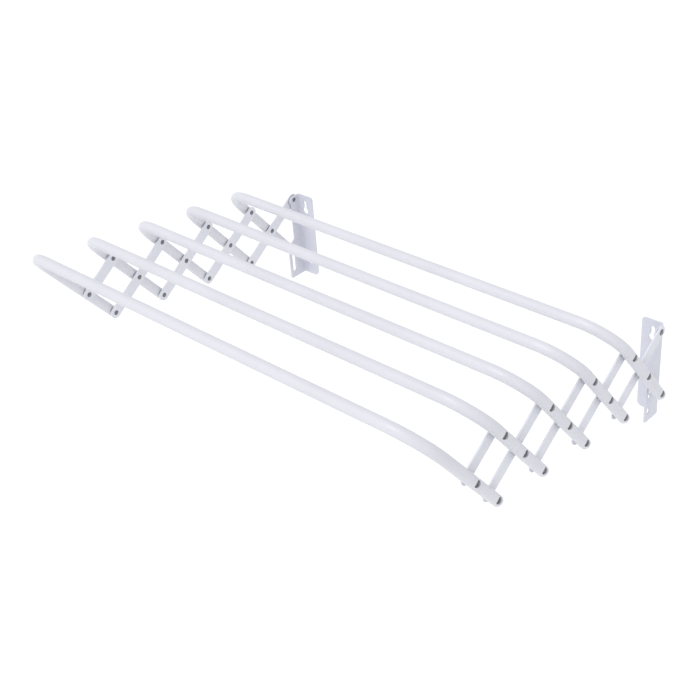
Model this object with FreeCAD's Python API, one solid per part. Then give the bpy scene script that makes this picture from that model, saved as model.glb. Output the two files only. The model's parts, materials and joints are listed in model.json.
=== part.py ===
import FreeCAD, Part
import math
import os

# Wall mounted accordion drying rack: five U-shaped steel rails carried by two rows of crossed arms
# (lazy tongs) that run out from two wall brackets and fold flat against the wall.
# Frame: +X along the rails, +Y into the wall, +Z up. The wall is the plane Y = 0, and the origin is
# midway between the two lower wall screws. All sizes are in millimetres.

# The rack as a whole
rail_count = 5
leg_spacing = 600.0  # between the centrelines of a rail's two legs
arm_half = 53.5  # from one rivet to the next along a leg or a cross bar
open_angle = 46.65  # each arm's lean from vertical when the rack is pulled right out
fold_travel = 36.65  # how much that lean changes between open and folded
pivot_gap = 11.0  # from the wall to the bracket's pivot
pivot_z = 100.0
slot_offset = 10.8  # the slot runs this much further from the wall, which tilts the open rack upwards

# Rails: one bent tube each, leg, rail and leg
tube_diameter = 13.0
tube_wall = 1.0
bend_radius = 45.0
rail_height = 110.5  # from the middle rivet to the rail's centreline, along the leg
leg_tail = 7.0  # tube beyond the lowest rivet

# End plugs in the open ends of the legs
plug_dome = 2.5
plug_rim = 0.5
plug_stem = 1.6

# Cross bars: flat strip on the inner side of the legs
bar_width = 15.0
bar_thickness = 2.0
bar_edge = 0.4

# Rivets, pins and washers
shank_radius = 2.4
hole_clearance = 0.05
head_radius = 3.8
head_height = 1.5
peened_radius = 3.1
peened_height = 1.2
seat_radius = 4.2  # the dimple in a leg's outer side, in which a head sits sunk
seat_depth = 2.9
head_seat_gap = 0.02  # between the head's underside and the dimple's floor
spacer_radius = 5.0
spacer_thickness = 1.0
washer_hole_clearance = 0.1
play = 0.1  # between two faces that turn on each other
collar_radius = 4.5
slot_washer_radius = 5.5
slot_washer_thickness = 0.8
pivot_washer_thickness = 0.9

# Wall brackets: an L in section, the side flange standing out from the wall plate
plate_thickness = 2.0
plate_width = 27.5
bracket_bottom = -17.2
bracket_top = 105.5
bend_inside = 1.5
lobe_radius = 7.0
lobe_reach = 18.8
waist_reach = 17.0
waist_low = 42.0
foot_reach = 29.5
foot_high = 30.0
foot_corner = 2.5
slot_half_width = 3.0
slot_bow = 0.48  # the pin wanders this far each way across the slot as the rack folds
slot_spare = 0.3  # slot beyond the pin at the folded end
screw_line_x = 276.0
keyhole_neck_z = 95.0
screw_hole_radius = 2.6
keyhole_radius = 4.75
keyhole_drop = 12.5
plate_top_corner = 4.0
plate_low_corner = 7.0

# Worked out from the sizes above
leg_x = leg_spacing / 2
tube_radius = tube_diameter / 2
open_turn = math.radians(open_angle)
folded_turn = math.radians(open_angle - fold_travel)
pitch = 2 * arm_half * math.sin(open_turn)
cross_rise = 2 * arm_half * math.cos(open_turn)
folded_rise = 2 * arm_half * math.cos(folded_turn)
pivot_y = -pivot_gap
open_tilt = math.degrees(math.asin(slot_offset / cross_rise))
leg_inside_x = leg_x - tube_radius
seat_x = leg_x + tube_radius - seat_depth
bar_outside_x = leg_inside_x - spacer_thickness - play
bar_inside_x = bar_outside_x - bar_thickness
flange_outside_x = bar_inside_x - play - pivot_washer_thickness
flange_inside_x = flange_outside_x - plate_thickness
plate_inner_x = flange_outside_x - plate_width

Vec = FreeCAD.Vector
X_AXIS = Vec(1, 0, 0)
Z_AXIS = Vec(0, 0, 1)
ORIGIN = Vec(0, 0, 0)


def save(node, solids):
    """Write one node's file: a single solid, or a group of separate ones."""
    shape = solids[0] if len(solids) == 1 else Part.makeCompound(solids)
    shape.exportStep("parts/" + node + ".step")


def rod(radius, x_low, x_high, y=0.0, z=0.0):
    """A cylinder along X."""
    return Part.makeCylinder(radius, x_high - x_low, Vec(x_low, y, z), X_AXIS)


def ring(outside, inside, x_low, x_high, y=0.0, z=0.0):
    return rod(outside, x_low, x_high, y, z).cut(rod(inside, x_low - 1, x_high + 1, y, z))


def dome(radius, height, x_base, direction, y=0.0, z=0.0):
    """A low round head standing on the plane x = x_base, pointing along +X or -X."""
    ball_radius = (radius * radius + height * height) / (2 * height)
    centre_x = x_base + direction * (height - ball_radius)
    ball = Part.makeSphere(ball_radius, Vec(centre_x, y, z))
    x_top = x_base + direction * 2 * height
    return ball.common(rod(ball_radius, min(x_base, x_top), max(x_base, x_top), y, z))


def mirrored(shape):
    """The same piece on the rack's left side."""
    return shape.mirror(ORIGIN, X_AXIS)


def both_sides(solids):
    return solids + [mirrored(solid) for solid in solids]


def leaned(shape, k, angle):
    """Turn an upright arm built around its middle rivet, and carry it to cross number k."""
    placed = shape.copy()
    placed.rotate(ORIGIN, X_AXIS, angle)
    placed.translate(Vec(0, pivot_y - (k - 0.5) * pitch, pivot_z - cross_rise / 2))
    placed.rotate(Vec(0, pivot_y, pivot_z), X_AXIS, -open_tilt)
    return placed


def on_leg(solids, k):
    """A rail's pieces lean away from the wall."""
    return [leaned(solid, k, open_angle) for solid in solids]


def on_bar(solids, k):
    """A cross bar's pieces lean towards the wall."""
    return [leaned(solid, k, -open_angle) for solid in solids]


# Rails. Each is built upright: legs along Z, the middle rivet at the height 0.


def rivet_heights(k):
    """Rivets along a leg: the last rail has no upper one, because no cross bar follows it."""
    heights = {"lower": -arm_half, "middle": 0.0, "upper": arm_half}
    if k == rail_count:
        del heights["upper"]
    return heights


def u_sweep(radius, z_low):
    """A round bar along the leg, bend, rail, bend and leg."""
    side = leg_x - bend_radius
    bend_z = rail_height - bend_radius
    inset = bend_radius * (1 - math.sqrt(0.5))
    left_foot = Vec(-leg_x, 0, z_low)
    left_leg = Vec(-leg_x, 0, bend_z)
    left_bend = Vec(-leg_x + inset, 0, rail_height - inset)
    left_rail = Vec(-side, 0, rail_height)
    right_rail = Vec(side, 0, rail_height)
    right_bend = Vec(leg_x - inset, 0, rail_height - inset)
    right_leg = Vec(leg_x, 0, bend_z)
    right_foot = Vec(leg_x, 0, z_low)
    path = Part.Wire(
        [
            Part.LineSegment(left_foot, left_leg).toShape(),
            Part.Arc(left_leg, left_bend, left_rail).toShape(),
            Part.LineSegment(left_rail, right_rail).toShape(),
            Part.Arc(right_rail, right_bend, right_leg).toShape(),
            Part.LineSegment(right_leg, right_foot).toShape(),
        ]
    )
    section = Part.Wire(Part.makeCircle(radius, left_foot, Z_AXIS))
    return path.makePipeShell([section], True, False)


def dimple(height):
    """A rivet's seat pressed into the leg's outer side: the pressed wall and its hollow."""
    wall = rod(seat_radius + tube_wall, seat_x - tube_wall, leg_x + tube_radius, 0, height)
    leg = Part.makeCylinder(tube_radius, 4 * seat_radius, Vec(leg_x, 0, height - 2 * seat_radius))
    hollow = rod(seat_radius, seat_x, leg_x + tube_diameter, 0, height)
    return wall.common(leg), hollow


def rail(k):
    z_low = -arm_half - leg_tail
    tube = u_sweep(tube_radius, z_low).cut(u_sweep(tube_radius - tube_wall, z_low))
    for height in rivet_heights(k).values():
        wall, hollow = dimple(height)
        drill = rod(shank_radius + hole_clearance, leg_x - tube_diameter, leg_x + tube_diameter, 0, height)
        tube = tube.fuse(both_sides([wall])).cut(both_sides([hollow, drill]))
    return tube.removeSplitter()


def end_plug():
    """A push-in plug: a stem in the tube and a rounded cap over the tube's end."""
    z_end = -arm_half - leg_tail
    z_rim = z_end - plug_rim
    stem_radius = tube_radius - tube_wall - hole_clearance
    stem = Part.makeCylinder(stem_radius, plug_stem + plug_rim, Vec(leg_x, 0, z_rim))
    rim = Part.makeCylinder(tube_radius, plug_rim, Vec(leg_x, 0, z_rim))
    ball_radius = (tube_radius**2 + plug_dome**2) / (2 * plug_dome)
    ball = Part.makeSphere(ball_radius, Vec(leg_x, 0, z_rim - plug_dome + ball_radius))
    slab = Part.makeCylinder(ball_radius, plug_dome, Vec(leg_x, 0, z_rim - plug_dome))
    return stem.fuse([rim, ball.common(slab)]).removeSplitter()


def outer_head(height):
    """The rivet's round head, sunk in its dimple."""
    return dome(head_radius, head_height, seat_x + head_seat_gap, 1, 0, height)


def leg_rivet(height, x_end):
    """A rivet through the leg, peened over at x_end."""
    shank = rod(shank_radius, x_end, seat_x + head_height / 2, 0, height)
    peened = dome(peened_radius, peened_height, x_end, -1, 0, height)
    return shank.fuse([outer_head(height), peened]).removeSplitter()


def spacer(height):
    hole = shank_radius + washer_hole_clearance
    return ring(spacer_radius, hole, leg_inside_x - spacer_thickness, leg_inside_x, 0, height)


def slot_pin():
    """The first rail's lowest rivet: it runs in the bracket's slot instead of a cross bar."""
    return leg_rivet(-arm_half, flange_inside_x - play - slot_washer_thickness)


def slot_collar():
    """Keeps the leg clear of the bracket's flange."""
    hole = shank_radius + washer_hole_clearance
    return ring(collar_radius, hole, flange_outside_x + play, leg_inside_x, 0, -arm_half)


def slot_washer():
    x_face = flange_inside_x - play
    hole = shank_radius + hole_clearance
    return ring(slot_washer_radius, hole, x_face - slot_washer_thickness, x_face, 0, -arm_half)


# Cross bars, built upright too


def bar_holes(k):
    """The last cross bar is a short one: it stops at the last rail's middle rivet."""
    return [0.0, arm_half] if k == rail_count else [-arm_half, 0.0, arm_half]


def cross_bar(k):
    heights = bar_holes(k)
    radius = bar_width / 2
    bar = Part.makeBox(
        bar_thickness, bar_width, heights[-1] - heights[0], Vec(bar_inside_x, -radius, heights[0])
    )
    for height in (heights[0], heights[-1]):
        bar = bar.fuse(rod(radius, bar_inside_x, bar_outside_x, 0, height))
    bar = bar.removeSplitter()
    middle_x = (bar_inside_x + bar_outside_x) / 2
    rims = [edge for edge in bar.Edges if abs(edge.CenterOfMass.x - middle_x) > bar_thickness / 4]
    bar = bar.makeFillet(bar_edge, rims)
    for height in heights:
        bar = bar.cut(rod(shank_radius + hole_clearance, bar_inside_x - 1, bar_outside_x + 1, 0, height))
    return bar


# Wall brackets, built in place on the right side


def outline(steps):
    """A closed flat outline. Each step is a corner, or the three points of an arc."""
    edges = []
    for step, following in zip(steps, steps[1:] + steps[:1]):
        if len(step) == 3:
            edges.append(Part.Arc(*step).toShape())
        edges.append(Part.LineSegment(step[-1], following[0]).toShape())
    return Part.Face(Part.Wire(edges))


def rounded(centre, radius, from_angle, to_angle, along, across):
    """An arc as three points, its angles measured from the direction along towards across."""
    points = []
    for angle in (from_angle, (from_angle + to_angle) / 2, to_angle):
        turn = math.radians(angle)
        points.append(centre + along * (radius * math.cos(turn)) + across * (radius * math.sin(turn)))
    return points


def flange_outline():
    """The flange's side view: a rounded lobe at the pivot, a waist, and a deeper foot at the slot."""
    front = Vec(0, -1, 0)
    r = foot_corner
    lobe_centre = Vec(0, lobe_radius - lobe_reach, bracket_top - lobe_radius)
    waist_angle = -math.degrees(math.acos((waist_reach - lobe_reach + lobe_radius) / lobe_radius))
    lobe = rounded(lobe_centre, lobe_radius, 90, waist_angle, front, Z_AXIS)
    foot = rounded(Vec(0, r - foot_reach, bracket_bottom + r), r, 0, -90, front, Z_AXIS)
    return outline(
        [
            lobe,
            [Vec(0, -waist_reach, waist_low)],
            [Vec(0, -foot_reach, foot_high)],
            foot,
            [Vec(0, 0, bracket_bottom)],
            [Vec(0, 0, bracket_top)],
        ]
    )


def plate_outline():
    """The wall plate's front view, its two inner corners rounded."""
    inward = Vec(-1, 0, 0)
    high = plate_top_corner
    low = plate_low_corner
    return outline(
        [
            [Vec(flange_outside_x, 0, bracket_top)],
            [Vec(flange_outside_x, 0, bracket_bottom)],
            rounded(Vec(plate_inner_x + low, 0, bracket_bottom + low), low, -90, 0, inward, Z_AXIS),
            rounded(Vec(plate_inner_x + high, 0, bracket_top - high), high, 0, 90, inward, Z_AXIS),
        ]
    )


def angle_section():
    """The bent strip, seen from above: wall plate, rounded bend and flange."""
    t = plate_thickness
    y_axis = Vec(0, 1, 0)
    centre = Vec(flange_inside_x - bend_inside, -t - bend_inside, 0)
    reach = -foot_reach - 1
    return outline(
        [
            [Vec(plate_inner_x, 0, 0)],
            rounded(centre, bend_inside + t, 90, 0, X_AXIS, y_axis),
            [Vec(flange_outside_x, reach, 0)],
            [Vec(flange_inside_x, reach, 0)],
            rounded(centre, bend_inside, 0, 90, X_AXIS, y_axis),
            [Vec(plate_inner_x, -t, 0)],
        ]
    )


def slot_cutter():
    """The slot that the first rail's lowest pin slides down as the rack folds. Its upper end is
    round, and the open pin stands to one side of the slot's middle line just under that end."""
    slot_y = pivot_y - slot_offset - slot_bow
    pin_open = pivot_z - math.sqrt(cross_rise**2 - slot_offset**2)
    pin_folded = pivot_z - math.sqrt(folded_rise**2 - slot_offset**2)
    spare = slot_half_width - shank_radius - hole_clearance
    top = pin_open - math.sqrt(spare**2 - slot_bow**2)
    low = pin_folded - slot_spare
    x_low = flange_inside_x - 1
    x_high = flange_outside_x + 1
    ends = [rod(slot_half_width, x_low, x_high, slot_y, z) for z in (low, top)]
    low_corner = Vec(x_low, slot_y - slot_half_width, low)
    middle = Part.makeBox(x_high - x_low, 2 * slot_half_width, top - low, low_corner)
    return middle.fuse(ends).removeSplitter()


def screw_hole_cutter():
    """A keyhole above, which hangs on a screw's head, and a plain hole below."""

    def through(radius, z):
        return Part.makeCylinder(radius, plate_thickness + 2, Vec(screw_line_x, 1, z), Vec(0, -1, 0))

    big = keyhole_neck_z - keyhole_drop
    neck_corner = Vec(screw_line_x - screw_hole_radius, -plate_thickness - 1, big)
    neck = Part.makeBox(2 * screw_hole_radius, plate_thickness + 2, keyhole_drop, neck_corner)
    ends = [through(screw_hole_radius, keyhole_neck_z), through(keyhole_radius, big)]
    return [neck.fuse(ends).removeSplitter(), through(screw_hole_radius, 0)]


def bracket():
    height = bracket_top - bracket_bottom
    strip = angle_section().extrude(Vec(0, 0, height))
    strip.translate(Vec(0, 0, bracket_bottom))
    side_view = flange_outline().extrude(Vec(leg_x, 0, 0))
    front_view = plate_outline().extrude(Vec(0, -foot_reach - 2, 0))
    shape = strip.common(side_view).common(front_view).removeSplitter()
    hole = rod(shank_radius + hole_clearance, flange_inside_x - 1, flange_outside_x + 1, pivot_y, pivot_z)
    return shape.cut([hole, slot_cutter()] + screw_hole_cutter())


def pivot_rivet():
    """Holds the first cross bar to the flange's lobe and lets it turn."""
    x_outer = bar_outside_x + play
    shank = rod(shank_radius, flange_inside_x, x_outer, pivot_y, pivot_z)
    outer = dome(head_radius, head_height, x_outer, 1, pivot_y, pivot_z)
    peened = dome(peened_radius, peened_height, flange_inside_x, -1, pivot_y, pivot_z)
    return shank.fuse([outer, peened]).removeSplitter()


def pivot_washer():
    hole = shank_radius + washer_hole_clearance
    return ring(spacer_radius, hole, flange_outside_x, bar_inside_x - play, pivot_y, pivot_z)


def write_rail_group(k):
    """A rail with everything that is fastened to it."""
    name = "rail_" + str(k)
    save(name, on_leg([rail(k)], k))
    save(name + "_end_plugs", on_leg(both_sides([end_plug()]), k))
    heights = rivet_heights(k)
    if k == 1:
        del heights["lower"]
        save("slot_pins", on_leg(both_sides([slot_pin()]), k))
        save("slot_collars", on_leg(both_sides([slot_collar()]), k))
        save("slot_washers", on_leg(both_sides([slot_washer()]), k))
    x_end = bar_inside_x - play
    for place, height in heights.items():
        save(name + "_" + place + "_rivets", on_leg(both_sides([leg_rivet(height, x_end)]), k))
    save(name + "_spacers", on_leg(both_sides([spacer(height) for height in heights.values()]), k))


def main():
    os.makedirs("parts", exist_ok=True)
    for k in range(1, rail_count + 1):
        write_rail_group(k)
        bar = cross_bar(k)
        save("cross_bar_" + str(k) + "_right", on_bar([bar], k))
        save("cross_bar_" + str(k) + "_left", on_bar([mirrored(bar)], k))
    side = bracket()
    save("wall_bracket_right", [side])
    save("wall_bracket_left", [mirrored(side)])
    save("bracket_pivot_rivets", both_sides([pivot_rivet()]))
    save("bracket_pivot_washers", both_sides([pivot_washer()]))


main()
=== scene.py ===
"""Looks for the wall mounted drying rack: white powder coated steel, zinc plated rivets, moulded plugs."""

import json
import math

import bpy
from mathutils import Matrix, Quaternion, Vector


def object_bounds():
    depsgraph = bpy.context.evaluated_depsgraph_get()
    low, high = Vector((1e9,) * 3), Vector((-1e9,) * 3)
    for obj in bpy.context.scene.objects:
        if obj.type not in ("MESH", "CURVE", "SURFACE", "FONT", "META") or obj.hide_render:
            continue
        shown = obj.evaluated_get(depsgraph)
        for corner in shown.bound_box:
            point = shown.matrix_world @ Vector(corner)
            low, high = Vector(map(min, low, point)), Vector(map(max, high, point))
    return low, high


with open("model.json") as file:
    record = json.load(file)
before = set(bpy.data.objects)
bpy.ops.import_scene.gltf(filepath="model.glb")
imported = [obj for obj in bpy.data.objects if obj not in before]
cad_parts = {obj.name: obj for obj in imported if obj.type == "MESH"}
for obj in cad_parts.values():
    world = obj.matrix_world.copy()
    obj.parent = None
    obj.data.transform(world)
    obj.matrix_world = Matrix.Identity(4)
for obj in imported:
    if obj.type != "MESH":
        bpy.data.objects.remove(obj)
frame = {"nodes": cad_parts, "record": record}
cad_low, cad_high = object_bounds()
cad_middle = (cad_low + cad_high) / 2

# Lengths are in metres, angles in degrees, and noise scales in features per metre.

# Camera. Azimuth 0 looks along +Y.
VIEW_AZIMUTH = 45.005
VIEW_ELEVATION = 32.906
VIEW_ROLL = -4.638
VIEW_DISTANCE = 1.4830
LENS = 65.72  # millimetres
AIM_OFFSET = Vector((0.0111, -0.0049, -0.0169))  # from the middle of the CAD box

# Studio
FLOOR_DROP = 1.35  # the rack hangs at chest height above the floor
FLOOR_HALF = 14.0
FLOOR_TONES = (0.93, 0.95)
FLOOR_SCALE = 0.8
FLOOR_ROUGHNESS = 0.9
FLOOR_SHINE = 0.1
SKY_LOW = (1.0, 1.0, 1.0)  # the sky's light at the horizon
SKY_HIGH = (0.78, 0.785, 0.80)  # and overhead
SKY_LOW_END = 0.05  # the heights between which it changes, as the sine of the elevation
SKY_HIGH_END = 0.85
SUN_STRENGTH = 1.3
SUN_ANGLE = 35.0  # a broad sun, so that its shadows are soft
SUN_FROM = Vector((-0.1, -0.85, 1.25))

# Rounded edges of the stamped steel
EDGE_RADIUS = 0.00022
EDGE_ANGLE = 40.0
EDGE_SEGMENTS = 2

# Noise mostly stays between these values, so ramps run from the first to the second
NOISE_LOW = 0.3
NOISE_HIGH = 0.7

# Painted shade in crevices: a surface's colour is painted darkest where this little of its surroundings is
# open, and left unshaded above the second
CREVICE_SAMPLES = 8
CREVICE_SHADE_DARKEST = 0.25
CREVICE_UNSHADED = 0.75
CREVICE_SHADE_WARMTH = 0.985  # how much of the blue is left there

# Powder coat
TUBE_WHITE = ((0.615, 0.618, 0.667), (0.645, 0.648, 0.697))
# The same coat painted lighter on the bars: painted light
BAR_WHITE_PAINTED_LIGHTER = ((0.655, 0.665, 0.725), (0.69, 0.70, 0.76))
# The same coat painted darker on the brackets: painted shade
BRACKET_WHITE_PAINTED_DARKER = ((0.58, 0.59, 0.665), (0.615, 0.625, 0.70))
TUBE_PEEL = 0.5
SHEET_PEEL = 0.6
COAT_DRIFT_SCALE = 14.0
COAT_PATCH_SCALE = 60.0
COAT_WAVE_SCALE = 420.0
COAT_WAVE_DEPTH = 0.00006
COAT_GRAIN_SCALE = 2600.0
COAT_GRAIN_DEPTH = 0.00002
COAT_ROUGHNESS = (0.36, 0.46)
# Painted shade in the coat's crevices: how far the AO node looks and how dark it paints
COAT_PAINTED_SHADE_REACH = 0.004
COAT_PAINTED_SHADE_DEPTH = 0.4
COAT_GLOSS = 0.12
COAT_GLOSS_ROUGHNESS = 0.12
COAT_IOR = 1.5

# Rivet steel
STEEL_TONES = ((0.11, 0.11, 0.125), (0.25, 0.25, 0.27))
STEEL_TONE_SCALE = 500.0
STEEL_TONE_DETAIL = 4.0
STEEL_TONE_ROUGHNESS = 0.6
STEEL_WEAR_SCALE = 900.0
STEEL_ROUGHNESS = (0.24, 0.42)
STEEL_MARK_DEPTH = 0.00012
STEEL_MARK_STRENGTH = 0.6
# Painted shade round each rivet head's rim: how far the AO node looks and how dark it paints
STEEL_PAINTED_SHADE_REACH = 0.0025
STEEL_PAINTED_SHADE_DEPTH = 0.85

# Moulded plastics
PLUG_TONES = ((0.80, 0.80, 0.84), (0.84, 0.84, 0.87))
PLUG_ROUGHNESS = (0.3, 0.4)
NYLON_TONES = ((0.68, 0.68, 0.69), (0.74, 0.74, 0.74))
NYLON_ROUGHNESS = (0.45, 0.55)
PLASTIC_CLOUD_SCALE = 180.0
PLASTIC_GRAIN_SCALE = 1500.0
PLASTIC_GRAIN_DEPTH = 0.00003
PLASTIC_GRAIN_STRENGTH = 0.5
PLASTIC_GLOW = 0.08
PLASTIC_GLOW_REACH = (0.002, 0.002, 0.002)


# Shader nodes


def new_material(name):
    """A material, its nodes, its links and its Principled shader."""
    material = bpy.data.materials.new(name)
    material.use_nodes = True
    nodes = material.node_tree.nodes
    return material, nodes, material.node_tree.links, nodes["Principled BSDF"]


def object_coordinates(nodes):
    return nodes.new("ShaderNodeTexCoord").outputs["Object"]


def noise(nodes, links, where, scale, detail=3.0, roughness=0.5):
    """Noise over the rack's own coordinates, so that it has a real size on every piece."""
    texture = nodes.new("ShaderNodeTexNoise")
    texture.inputs["Scale"].default_value = scale
    texture.inputs["Detail"].default_value = detail
    texture.inputs["Roughness"].default_value = roughness
    links.new(where, texture.inputs["Vector"])
    return texture.outputs["Fac"]


def ramp(nodes, links, source, stops):
    """A colour ramp. Each stop is a position and a grey level or a colour."""
    node = nodes.new("ShaderNodeValToRGB")
    for element, (position, colour) in zip(node.color_ramp.elements, stops):
        element.position = position
        rgb = colour if isinstance(colour, tuple) else (colour, colour, colour)
        element.color = (*rgb, 1.0)
    links.new(source, node.inputs["Fac"])
    return node.outputs["Color"]


def noise_ramp(nodes, links, source, tones):
    """A ramp between two tones over the range that noise covers."""
    low, high = tones
    return ramp(nodes, links, source, [(NOISE_LOW, low), (NOISE_HIGH, high)])


def bump(nodes, links, height, distance, strength, below=None):
    """A bumped normal, on top of the one below if there is one."""
    node = nodes.new("ShaderNodeBump")
    node.inputs["Distance"].default_value = distance
    node.inputs["Strength"].default_value = strength
    links.new(height, node.inputs["Height"])
    if below is not None:
        links.new(below, node.inputs["Normal"])
    return node.outputs["Normal"]


def paint_crevice_shade(nodes, links, colour, reach, depth):
    """The colour with painted shade: darker by depth and a little warmer in crevices that are narrower
    than reach.
    """
    crevice = nodes.new("ShaderNodeAmbientOcclusion")
    crevice.samples = CREVICE_SAMPLES
    crevice.inputs["Distance"].default_value = reach
    low = 1.0 - depth
    # Painted shade: the ramp darkens and warms the colour where the AO node finds the surroundings closed
    stops = [(CREVICE_SHADE_DARKEST, (low, low, low * CREVICE_SHADE_WARMTH)), (CREVICE_UNSHADED, 1.0)]
    node = nodes.new("ShaderNodeMix")
    node.data_type = "RGBA"
    node.blend_type = "MULTIPLY"
    node.inputs["Factor"].default_value = 1.0
    links.new(colour, node.inputs["A"])
    links.new(ramp(nodes, links, crevice.outputs["AO"], stops), node.inputs["B"])
    return node.outputs["Result"]


# Materials


def powder_coat(name, white, peel):
    """Semi-gloss powder coat: a slightly uneven white with the skin of an orange, and painted shade in its
    crevices.
    """
    material, nodes, links, shader = new_material(name)
    where = object_coordinates(nodes)
    colour = noise_ramp(nodes, links, noise(nodes, links, where, COAT_DRIFT_SCALE), white)
    # Painted shade darkens the coat in its crevices
    coat_with_painted_shade = paint_crevice_shade(nodes, links, colour, COAT_PAINTED_SHADE_REACH, COAT_PAINTED_SHADE_DEPTH)
    links.new(coat_with_painted_shade, shader.inputs["Base Color"])
    patches = noise(nodes, links, where, COAT_PATCH_SCALE, detail=2.0)
    links.new(noise_ramp(nodes, links, patches, COAT_ROUGHNESS), shader.inputs["Roughness"])
    wave_height = noise(nodes, links, where, COAT_WAVE_SCALE, detail=2.0)
    waves = bump(nodes, links, wave_height, COAT_WAVE_DEPTH, peel)
    grain_height = noise(nodes, links, where, COAT_GRAIN_SCALE, detail=1.0)
    links.new(bump(nodes, links, grain_height, COAT_GRAIN_DEPTH, peel, waves), shader.inputs["Normal"])
    shader.inputs["Coat Weight"].default_value = COAT_GLOSS
    shader.inputs["Coat Roughness"].default_value = COAT_GLOSS_ROUGHNESS
    shader.inputs["IOR"].default_value = COAT_IOR
    return material


def rivet_steel():
    """Zinc plated steel, dulled and lightly marked by the press, with painted shade round each head's rim.
    """
    material, nodes, links, shader = new_material("rivet_steel")
    where = object_coordinates(nodes)
    tone = noise(nodes, links, where, STEEL_TONE_SCALE, STEEL_TONE_DETAIL, STEEL_TONE_ROUGHNESS)
    colour = noise_ramp(nodes, links, tone, STEEL_TONES)
    # Painted shade darkens the steel round each head's rim
    steel_with_painted_rim_shade = paint_crevice_shade(nodes, links, colour, STEEL_PAINTED_SHADE_REACH, STEEL_PAINTED_SHADE_DEPTH)
    links.new(steel_with_painted_rim_shade, shader.inputs["Base Color"])
    shader.inputs["Metallic"].default_value = 1.0
    worn = noise(nodes, links, where, STEEL_WEAR_SCALE)
    links.new(noise_ramp(nodes, links, worn, STEEL_ROUGHNESS), shader.inputs["Roughness"])
    marks = bump(nodes, links, tone, STEEL_MARK_DEPTH, STEEL_MARK_STRENGTH)
    links.new(marks, shader.inputs["Normal"])
    return material


def moulded(name, tones, roughness):
    """Moulded plastic with a faint cloud and grain."""
    material, nodes, links, shader = new_material(name)
    where = object_coordinates(nodes)
    cloud = noise(nodes, links, where, PLASTIC_CLOUD_SCALE)
    links.new(noise_ramp(nodes, links, cloud, tones), shader.inputs["Base Color"])
    links.new(noise_ramp(nodes, links, cloud, roughness), shader.inputs["Roughness"])
    grain_height = noise(nodes, links, where, PLASTIC_GRAIN_SCALE, detail=2.0)
    grain = bump(nodes, links, grain_height, PLASTIC_GRAIN_DEPTH, PLASTIC_GRAIN_STRENGTH)
    links.new(grain, shader.inputs["Normal"])
    shader.inputs["Subsurface Weight"].default_value = PLASTIC_GLOW
    shader.inputs["Subsurface Radius"].default_value = PLASTIC_GLOW_REACH
    shader.inputs["Subsurface Scale"].default_value = 1.0
    return material


# The rack


def give(name, material):
    mesh = frame["nodes"][name].data
    mesh.materials.clear()
    mesh.materials.append(material)


def round_edges(name):
    """The coat rounds a stamped edge, so that it catches a thin line of light."""
    edges = frame["nodes"][name].modifiers.new("rounded_edges", "BEVEL")
    edges.width = EDGE_RADIUS
    edges.segments = EDGE_SEGMENTS
    edges.limit_method = "ANGLE"
    edges.angle_limit = math.radians(EDGE_ANGLE)
    edges.use_clamp_overlap = True
    edges.harden_normals = True


def dress():
    """The slot in the record gives each node's material; tubes, bars and brackets share one white coat,
    with the bar copy painted lighter as painted light and the copy for the brackets and other coated
    pieces painted darker as painted shade.
    """
    tube_coat = powder_coat("powder_coat_tube", TUBE_WHITE, TUBE_PEEL)
    # The bar coat is the tube coat painted lighter, painted light; the bracket coat below is it painted
    # darker, painted shade
    bar_coat_painted_light = powder_coat("powder_coat_bar_painted_light", BAR_WHITE_PAINTED_LIGHTER, SHEET_PEEL)
    materials = {
        "powder_coat": powder_coat("powder_coat_bracket_painted_shade", BRACKET_WHITE_PAINTED_DARKER, SHEET_PEEL),
        "rivet_steel": rivet_steel(),
        "white_plastic": moulded("white_plastic", PLUG_TONES, PLUG_ROUGHNESS),
        "nylon": moulded("nylon", NYLON_TONES, NYLON_ROUGHNESS),
    }
    for part in frame["record"]["subparts"]:
        name = part["node"]
        is_bar = name.startswith("cross_bar")
        material = materials[part["material_slot"]]
        if name.startswith("rail_") and name.count("_") == 1:
            material = tube_coat
        if is_bar:
            material = bar_coat_painted_light
        give(name, material)
        if is_bar or name.startswith("wall_bracket"):
            round_edges(name)


# Studio


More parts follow.
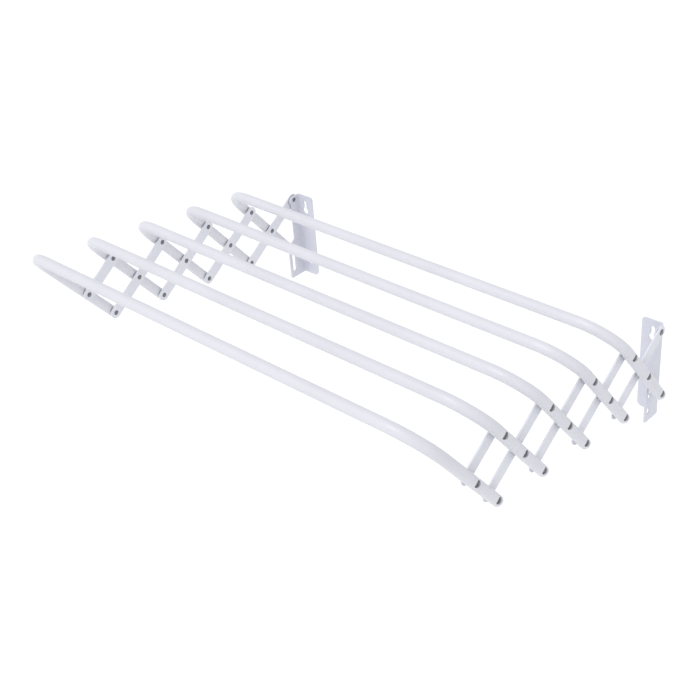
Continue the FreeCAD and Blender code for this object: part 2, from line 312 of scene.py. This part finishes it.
def studio():
    """A pale floor far below the rack."""
    floor_material, nodes, links, shader = new_material("floor_pale")
    cloud = noise(nodes, links, object_coordinates(nodes), FLOOR_SCALE)
    links.new(noise_ramp(nodes, links, cloud, FLOOR_TONES), shader.inputs["Base Color"])
    shader.inputs["Roughness"].default_value = FLOOR_ROUGHNESS
    shader.inputs["Specular IOR Level"].default_value = FLOOR_SHINE
    spot = (cad_middle.x, cad_middle.y, cad_low.z - FLOOR_DROP)
    bpy.ops.mesh.primitive_plane_add(size=2 * FLOOR_HALF, location=spot)
    floor = bpy.context.object
    floor.name = "floor"
    floor.data.materials.append(floor_material)


def sky():
    """A white cyclorama: bright at the horizon, a little dimmer overhead."""
    world = bpy.data.worlds.new("studio")
    bpy.context.scene.world = world
    world.use_nodes = True
    nodes, links = world.node_tree.nodes, world.node_tree.links
    split = nodes.new("ShaderNodeSeparateXYZ")
    links.new(nodes.new("ShaderNodeTexCoord").outputs["Generated"], split.inputs[0])
    stops = [(SKY_LOW_END, SKY_LOW), (SKY_HIGH_END, SKY_HIGH)]
    links.new(ramp(nodes, links, split.outputs["Z"], stops), nodes["Background"].inputs["Color"])


def sun():
    """A broad lamp high up in front of the rack."""
    light = bpy.data.lights.new("sun", "SUN")
    light.energy = SUN_STRENGTH
    light.angle = math.radians(SUN_ANGLE)
    holder = bpy.data.objects.new("sun", light)
    bpy.context.scene.collection.objects.link(holder)
    holder.rotation_euler = (-SUN_FROM).to_track_quat("-Z", "Y").to_euler()


def camera():
    """Looks down on the open rack from its front right."""
    azimuth = math.radians(VIEW_AZIMUTH)
    elevation = math.radians(VIEW_ELEVATION)
    across = math.cos(elevation)
    back = Vector((math.sin(azimuth) * across, -math.cos(azimuth) * across, math.sin(elevation)))
    data = bpy.data.cameras.new("camera")
    data.lens = LENS
    holder = bpy.data.objects.new("camera", data)
    bpy.context.scene.collection.objects.link(holder)
    holder.location = cad_middle + AIM_OFFSET + back * VIEW_DISTANCE
    holder.rotation_mode = "QUATERNION"
    level = (-back).to_track_quat("-Z", "Y")
    holder.rotation_quaternion = Quaternion(back, math.radians(VIEW_ROLL)) @ level
    bpy.context.scene.camera = holder


dress()
studio()
sky()
sun()
camera()
bpy.context.scene.view_settings.view_transform = "Standard"
